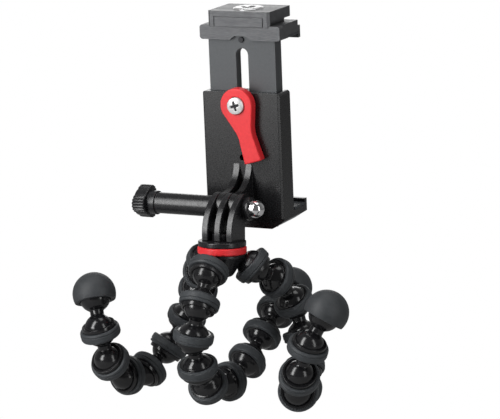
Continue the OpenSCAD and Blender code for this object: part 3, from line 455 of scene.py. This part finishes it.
def buildHub():
    s = hub
    low = s["top"] - s["height"]
    body = roundedPath([(0, low), (s["tip"], low), (s["radius"], s["top"] - s["rimDepth"]),
                        (s["radius"], s["top"]), (0, s["top"])], s["rounds"], steps=8)
    parts = [placed(lathe(body, count=80), hubFrame)]
    rings = []
    for leg in legs.values():
        where = aimed(*socketFrame(leg["turn"]))
        cup = cupProfile(s["cupBack"])
        profile = np.concatenate([roundedPath(s["neck"] + [cup[0]], s["neckRounds"]), cup[1:]])
        points, faces = placed(lathe(profile, count=72), where)
        # the neck's back stays under the hub's top: z is held there within reach of the hub's axis
        local = (points - hubFrame[1]) @ hubTurn
        near = np.hypot(local[:, 0], local[:, 1]) < s["radius"] + s["heldWithin"]
        held = np.minimum(local[:, 2], s["top"] - s["heldUnder"])
        local[:, 2] = np.where(near, held, local[:, 2])
        parts.append(placed((local, faces), hubFrame))
        rings.append(placed(lathe(ringProfile(), count=72, closed=True), where))
    addPiece("hubShell", joined(*parts), finishes["satin"], "hub", ["hub_body"])
    addPiece("hubRings", joined(*rings), finishes["grip"], "hub", ["hub_grips"])
    s = trimRing
    low, high = s["top"] - s["height"], s["top"]
    trim = roundedPath([(s["bore"], low), (s["radius"] - s["lowIn"], low), (s["radius"], low + s["edge"]),
                        (s["radius"], high - s["edge"]), (s["radius"] - s["highIn"], high),
                        (s["bore"], high)], s["rounds"], closed=True, steps=5)
    band = placed(lathe(trim, count=96, closed=True), hubFrame)
    addPiece("trimBand", band, finishes["red"], "hub", ["trim_ring"])
    print("hub built")


buildHub()


# Fork: three fingers on a round base, and the boss of the cap nut
fork = dict(finger=2.9, gap=3.15, front=5.5, back=8.3, curve=18, endRadius=6.6, bore=2.55, edge=0.35,
            sunk=0.3, baseRadius=10.8, baseHeight=2.3, baseLow=-17.4, baseRounds=(0, 0.3, 0.5, 0),
            humpRadius=4.55, humpHeight=5.45, humpRounds=(0, 0, 0.4, 0), bossRadius=5.25,
            bossLength=3.2, nutSeat=3.97, bossRounds=(0, 0, 0.4, 0.2, 0, 0))


def buildFork():
    s = fork
    low = s["baseLow"] + s["baseHeight"] - s["sunk"]
    # the front edge is an arc that touches the round end, and the back edge runs straight up into it
    y, z = boltInHub[1:]
    arcY = s["curve"] - s["front"]
    arcZ = z - np.sqrt((s["curve"] - s["endRadius"]) ** 2 - (arcY - y) ** 2)
    meet = np.degrees(np.arctan2(z - arcZ, y - arcY))
    heel = -np.degrees(np.arccos((s["back"] - y) / s["endRadius"]))
    toe = 180 + np.degrees(np.arcsin((arcZ - low) / s["curve"]))
    outline = np.concatenate([[(s["back"], low)], arcPoints((y, z), s["endRadius"], heel, meet, count=48),
                              arcPoints((arcY, arcZ), s["curve"], meet, toe, count=32)[1:]])
    finger = plate([outline, holeLoop(s["bore"], (y, z))], s["finger"], s["edge"])
    step = s["finger"] + s["gap"]
    parts = [placed(finger, (alongX, np.array([i * step - s["finger"] / 2, 0, 0]))) for i in (-1, 0, 1)]
    base = roundedPath([(0, s["baseLow"]), (s["baseRadius"], s["baseLow"]),
                        (s["baseRadius"], low + s["sunk"]), (0, low + s["sunk"])], s["baseRounds"])
    parts.append(lathe(base, count=96))
    humpTop = s["baseLow"] + s["humpHeight"]
    hump = roundedPath([(0, low), (s["humpRadius"], low), (s["humpRadius"], humpTop), (0, humpTop)],
                       s["humpRounds"])
    parts.append(lathe(hump, count=72))
    width = 1.5 * s["finger"] + s["gap"]
    bossStart, bossEnd, seat = width - s["sunk"], width + s["bossLength"], s["nutSeat"]
    boss = roundedPath([(s["bore"], bossStart), (s["bossRadius"], bossStart), (s["bossRadius"], bossEnd),
                        (seat, bossEnd), (seat, width), (s["bore"], width)],
                       s["bossRounds"], closed=True, steps=5)
    parts.append(placed(lathe(boss, closed=True), (alongX, boltInHub)))
    body = placed(joined(*parts), hubFrame)
    addPiece("forkBody", body, finishes["satin"], "fork", ["fork"])
    print("fork built")


buildFork()


# Thumb knob with three lobes, its collar and its sleeve; the cap nut at the other end
knob = dict(end=-46.35, length=6.1, core=6.2, lobeOut=4.0, lobe=4.1, lobeAngles=[60, 180, 300], ribs=30,
            ribDepth=0.6, ribsFrom=0.6, collar=5.45, collarLength=3.8, sleeve=4.8, sleeveEnd=-7.7,
            bore=2.55, boreFrom=3, stemFrom=1, stemRounds=(0, 0, 0.5, 0.3, 0.3, 0.1, 0, 0), edge=0.45)
nut = dict(end=16.6, length=8.2, radius=3.95, bore=2.6, rounds=(0, 0.2, 0))


def buildKnob():
    s = knob
    t = np.linspace(0, 2 * np.pi, 721)[:-1]
    # the farthest of the core and the three lobe circles in each direction, with a rib wave laid over it
    out = np.full_like(t, s["core"])
    for lobeAngle in np.radians(s["lobeAngles"]):
        along = s["lobeOut"] * np.cos(t - lobeAngle)
        across = s["lobeOut"] * np.sin(t - lobeAngle)
        inside = s["lobe"] ** 2 - across ** 2
        lobeEdge = along + np.sqrt(np.maximum(inside, 0))
        out = np.maximum(out, np.where((inside > 0) & (along > 0), lobeEdge, 0))
    out = out + s["ribDepth"] * (np.abs(np.sin(s["ribs"] * t / 2)) - 1) * (out > s["core"] + s["ribsFrom"])
    head = plate([np.column_stack([out * np.cos(t), out * np.sin(t)])], s["length"], s["edge"])
    reach, collarEnd = s["sleeveEnd"] - s["end"], s["length"] + s["collarLength"]
    stem = roundedPath([(0, s["stemFrom"]), (s["collar"], s["stemFrom"]), (s["collar"], collarEnd),
                        (s["sleeve"], collarEnd), (s["sleeve"], reach), (s["bore"], reach),
                        (s["bore"], s["boreFrom"]), (0, s["boreFrom"])], s["stemRounds"], steps=5)
    moulding = placed(joined(head, lathe(stem, count=72)), (alongX, boltAt + [s["end"], 0, 0]))
    addPiece("knobMoulding", moulding, finishes["satin"], "knob", ["thumb_knob"])
    s = nut
    dome = arcPoints((0, s["length"] - s["radius"]), s["radius"], 0, 90, count=24)
    side = roundedPath([(s["bore"], 0), (s["radius"], 0), dome[0]], s["rounds"])
    where = alongX, boltAt + [s["end"] - s["length"], 0, 0]
    cap = placed(lathe(np.concatenate([side, dome[1:]]), count=72), where)
    addPiece("nutCap", cap, finishes["chrome"], "fork", ["cap_nut"])
    print("knob and nut built")


buildKnob()


# Lock lever, with a well for its cross-head screw
lever = dict(height=98.3, back=22.5, thick=4.7, headRadius=7.8, shoulder=3.2, length=26.8, waist=3.45,
             waistAt=13.4, tail=4.3, rounds=(0, 14, 0.7, 0.7, 14, 0), lean=16, edge=0.55, screwGap=0.15,
             wellOut=0.4, wellFrom=0.3, wellGap=0.05)
screw = dict(radius=3.85, sunk=1.0, height=2.8, dome=0.55, rimDrop=0.5, rimFrom=0.975, crossLength=2.2,
             crossWidth=0.55, crossDepth=1.2, crossWall=0.25, lengthIn=0.15, widthIn=0.1, plate=0.4,
             plateEdge=0.05)
leanTo = np.radians(lever["lean"])
leverSpin = np.array([[np.cos(leanTo), -np.sin(leanTo)], [np.sin(leanTo), np.cos(leanTo)]])
leverPlace = towardsViewer, np.array([0, lever["back"], lever["height"]])


def buildLever():
    s = lever
    rise = s["shoulder"]
    shoulder = np.degrees(np.arctan2(-rise, np.sqrt(s["headRadius"] ** 2 - rise ** 2)))
    head = arcPoints((0, 0), s["headRadius"], shoulder, 180 - shoulder, count=48)
    flank = roundedPath([head[-1], (-s["waist"], -s["waistAt"]), (-s["tail"], -s["length"]),
                         (s["tail"], -s["length"]), (s["waist"], -s["waistAt"]), head[0]],
                        s["rounds"], steps=8)
    outline = np.concatenate([head[:-1], flank[:-1]])
    hole = holeLoop(screw["radius"] + s["screwGap"])
    body = plate([outline @ leverSpin.T, hole], s["thick"], s["edge"])
    wellTop, wellRadius = s["thick"] - screw["sunk"] - s["wellGap"], screw["radius"] + s["wellOut"]
    well = lathe([(0, s["wellFrom"]), (wellRadius, s["wellFrom"]), (wellRadius, wellTop), (0, wellTop)])
    moulding = placed(joined(body, well), leverPlace)
    addPiece("leverMoulding", moulding, finishes["red"], "lever", ["lock_lever"])
    print("lever built")


def buildLeverScrew():
    # screw head: a dome over the radius, with a cross cut whose walls fall smoothly
    s = screw
    r = np.concatenate([np.linspace(0, 0.93, 30), [0.97, 0.99, 1.0]]) * s["radius"]
    t = np.arange(120) * 2 * np.pi / 120
    x, y = r[:, None] * np.cos(t), r[:, None] * np.sin(t)
    u = x * np.cos(leanTo) + y * np.sin(leanTo)
    v = -x * np.sin(leanTo) + y * np.cos(leanTo)
    arm = np.maximum(np.minimum(s["crossWidth"] - abs(v), s["crossLength"] - abs(u)),
                     np.minimum(s["crossWidth"] - abs(u), s["crossLength"] - abs(v)))
    cut = np.clip(arm / s["crossWall"] + 0.5, 0, 1) * s["crossDepth"]
    bottom = lever["thick"] - s["sunk"]
    top = bottom + s["height"]
    rim = s["rimDrop"] * (r[:, None] > s["rimFrom"] * s["radius"])
    bulge = s["dome"] * (1 - (r / s["radius"]) ** 2)[:, None] - rim
    face = np.stack([x, y, top - s["dome"] + bulge - cut], -1)[::-1]
    under = np.stack([x, y, 0 * x + bottom], -1)[[0, -1]]
    head = placed(gridSurface(np.concatenate([under, face])), leverPlace)
    addPiece("screwHead", head, finishes["zinc"], "lever", ["lever_screw"])
    # a dark cross-shaped plate lies on the floor of the cut: painted shade, darkening the recess where
    # shade falls
    half, thin = s["crossLength"] - s["lengthIn"], s["crossWidth"] - s["widthIn"]
    quarter = np.array([(half, thin), (thin, thin), (thin, half)])
    opposite = np.array([(-thin, half), (-thin, thin), (-half, thin)])
    cross = np.concatenate([quarter, opposite, -quarter, -opposite])
    points, faces = plate([cross @ leverSpin.T], s["plate"], s["plateEdge"])
    recessShade = placed((points + [0, 0, top - s["crossDepth"] - s["plateEdge"]], faces), leverPlace)
    addPiece("screwRecessPaintedShade", recessShade, finishes["blackScrew"], "lever")
    print("lever screw built")


buildLever()
buildLeverScrew()


# Clamp solids keep their own shapes and gain round edges: node, body, finish, edge width, slot
dressed = [
    ("housing", "clamp", "shell", 0.3, "dark_shell"),
    ("lower_jaw", "clamp", "satin", 0.35, "satin_plastic"),
    ("back_cover", "clamp", "satin", 0.2, "satin_plastic"),
    ("back_pad", "clamp", "grip", 0.25, "grip_rubber"),
    ("lower_jaw_pad", "clamp", "grip", 0.25, "grip_rubber"),
    ("slide_plate", "jaw", "slide", 0.25, "grey_metal"),
    ("upper_jaw", "jaw", "brushed", 0.3, "brushed_metal"),
    ("upper_jaw_pad", "jaw", "grip", 0.25, "grip_rubber"),
    ("shoe_block", "jaw", "brushed", 0.3, "brushed_metal"),
    ("shoe_inset", "jaw", "brushed", 0.12, "brushed_metal"),
    ("stop_screw", "jaw", "blackScrew", 0.15, "black_screw")]
for node, body, finish, width, slotName in dressed:
    softenedCopy(node, body, finishes[finish], width)
# nodes that keep their own mesh and take a finish
plain = {"hub_stud": "zinc", "tilt_bolt": "zinc", "slot_nut": "zinc", "slide_liners": "slick",
         "lever_washer": "slick", "lower_jaw_screws": "blackScrew", "jaw_screws": "blackScrew",
         "shoe_screws": "blackScrew"}
for node, finish in plain.items():
    for place in cadNodes[node].material_slots:
        place.material = finishes[finish]
print("clamp dressed")


# Threaded insert: a flange with a bright face and a helical thread, the thread coloured dark as painted
# shade in the bore
insert = dict(place=(0, 34.8, 140.1), flange=7.0, face=6.0, proud=0.6, body=5.0, length=5.6, bore=2.6,
              thread=0.3, turns=4.9, rimDown=0.45, faceIn=0.8, mouthDown=0.4,
              rounds=(0, 0, 0, 0, 0.2, 0.05, 0.05, 0), columns=72, rows=90)


def buildInsert():
    s = insert
    root, mouth = s["bore"] + s["thread"], s["proud"] - s["mouthDown"]
    outside = roundedPath([(root, -s["length"]), (s["body"], -s["length"]), (s["body"], -s["proud"]),
                           (s["flange"], -s["proud"]), (s["flange"], s["proud"] - s["rimDown"]),
                           (s["face"], s["proud"]), (s["bore"] + s["faceIn"], s["proud"]), (root, mouth)],
                          s["rounds"], steps=3)
    t = np.arange(s["columns"]) * 2 * np.pi / s["columns"]
    z = np.linspace(mouth, -s["length"], s["rows"])[:, None]
    # the bore's radius swings by the thread's depth as a triangle wave that climbs one pitch a turn
    phase = (z - t / (2 * np.pi) * s["length"] / s["turns"]) * s["turns"] / s["length"]
    r = s["bore"] + s["thread"] * np.abs(2 * (phase % 1) - 1)
    r[0], r[-1] = root, root
    bore = gridSurface(np.stack([r * np.cos(t), r * np.sin(t), z + 0 * t], -1))
    where = np.eye(3), np.array(s["place"], float)
    body = placed(lathe(outside, count=s["columns"]), where)
    addPiece("insertBody", body, finishes["turned"], "jaw", ["threaded_insert"])
    # the bore's thread takes the dark blackened-steel finish as painted shade inside the hole
    addPiece("insertThreadPaintedShade", placed(bore, where), finishes["blackScrew"], "jaw")
    print("insert built")


buildInsert()


# Floor, lights and camera. A lamp's direction is across, up and towards the camera.
camera = dict(place=(0.52395, -1.0402, 0.3138), azimuth=26.124, elevation=12.577, roll=-2.268, lens=192.4)
azimuth, elevation, roll = (np.radians(camera[k]) for k in ("azimuth", "elevation", "roll"))
behind = np.array([np.sin(azimuth) * np.cos(elevation), -np.cos(azimuth) * np.cos(elevation),
                   np.sin(elevation)])
level = np.array([np.cos(azimuth), np.sin(azimuth), 0])
upright = np.cross(behind, level)
right = np.cos(roll) * level + np.sin(roll) * upright
upwards = np.cos(roll) * upright - np.sin(roll) * level
studio = dict(floorSize=6, floorHeight=-0.085, floorGrey=0.4, turnLow=-0.3, turnHigh=0.8, dim=0.14,
              pale=0.30, lampsAim=(0, 0.01, 0.055))
lamps = [
    dict(name="leftBox", direction=(-0.70, 0.38, 0.60), distance=0.9, size=(0.28, 0.95), radiance=9.5),
    dict(name="rightBox", direction=(0.66, 0.06, 0.75), distance=0.9, size=(0.22, 1.05), radiance=3.6),
    dict(name="topBox", direction=(0.10, 0.97, 0.10), distance=1.2, size=(0.8, 0.5), radiance=2.5),
    dict(name="lowCard", direction=(-0.77, -0.12, 0.54), distance=0.36, size=(0.16, 0.08), radiance=2.6),
    dict(name="backCard", direction=(0.0, 0.425, -0.905), distance=1.0, size=(0.5, 0.30), radiance=2.2)]


def makeStage():
    # a floor that is white to the camera and grey to the object's own light
    bpy.ops.mesh.primitive_plane_add(size=studio["floorSize"], location=(0, 0, studio["floorHeight"]))
    floor = bpy.context.object
    floor.name = "floor"
    pale = bpy.data.materials.new("paleFloor")
    pale.use_nodes = True
    tree = pale.node_tree
    tree.nodes.clear()
    output, mix = tree.nodes.new("ShaderNodeOutputMaterial"), tree.nodes.new("ShaderNodeMixShader")
    diffuse, glow = tree.nodes.new("ShaderNodeBsdfDiffuse"), tree.nodes.new("ShaderNodeEmission")
    path = tree.nodes.new("ShaderNodeLightPath")
    diffuse.inputs["Color"].default_value = (*[studio["floorGrey"]] * 3, 1)
    linkNodes(tree, (path.outputs["Is Camera Ray"], mix.inputs["Fac"]), (diffuse.outputs[0], mix.inputs[1]),
              (glow.outputs[0], mix.inputs[2]), (mix.outputs[0], output.inputs["Surface"]))
    floor.data.materials.append(pale)


def makeWorld():
    # white to the camera; for the object's own light, pale behind it and dim on the camera's side
    world = bpy.data.worlds.new("studio")
    bpy.context.scene.world = world
    world.use_nodes = True
    tree = world.node_tree
    background = tree.nodes["Background"]
    where, along = tree.nodes.new("ShaderNodeTexCoord"), tree.nodes.new("ShaderNodeVectorMath")
    along.operation = "DOT_PRODUCT"
    along.inputs[1].default_value = (*(-behind),)
    shade = tree.nodes.new("ShaderNodeMapRange")
    shade.inputs["From Min"].default_value = studio["turnLow"]
    shade.inputs["From Max"].default_value = studio["turnHigh"]
    shade.inputs["To Min"].default_value = studio["dim"]
    shade.inputs["To Max"].default_value = studio["pale"]
    path, choose = tree.nodes.new("ShaderNodeLightPath"), tree.nodes.new("ShaderNodeMix")
    choose.data_type = "FLOAT"
    choose.inputs["B"].default_value = 1
    linkNodes(tree,
              (where.outputs["Generated"], along.inputs[0]),
              (along.outputs["Value"], shade.inputs["Value"]),
              (shade.outputs["Result"], choose.inputs["A"]),
              (path.outputs["Is Camera Ray"], choose.inputs["Factor"]),
              (choose.outputs["Result"], background.inputs["Strength"]))
    background.inputs["Color"].default_value = (1, 1, 1, 1)


def makeLamps():
    # each lamp stands off the object's middle along its direction and faces back to it
    middle = Vector(studio["lampsAim"])
    for s in lamps:
        across, up, toCamera = s["direction"]
        direction = Vector(unit(across * right + up * upwards + toCamera * behind))
        light = bpy.data.lights.new(s["name"], "AREA")
        light.shape = "RECTANGLE"
        light.size, light.size_y = s["size"]
        light.energy = s["radiance"] * np.pi * s["size"][0] * s["size"][1]
        lamp = bpy.data.objects.new(s["name"], light)
        bpy.context.scene.collection.objects.link(lamp)
        lamp.location = middle + direction * s["distance"]
        lamp.rotation_euler = (-direction).to_track_quat("-Z", "Y").to_euler()


def makeCamera():
    data = bpy.data.cameras.new("viewer")
    data.sensor_width, data.lens = 36, camera["lens"]
    data.clip_start, data.clip_end = 0.05, 20
    viewer = bpy.data.objects.new("viewer", data)
    bpy.context.scene.collection.objects.link(viewer)
    turn = Matrix(np.column_stack([right, upwards, behind]).tolist())
    viewer.matrix_world = Matrix.Translation(camera["place"]) @ turn.to_4x4()
    bpy.context.scene.camera = viewer


makeStage()
makeWorld()
makeLamps()
makeCamera()
bpy.context.scene.view_settings.view_transform = "Standard"
print("stage, lights and camera set")
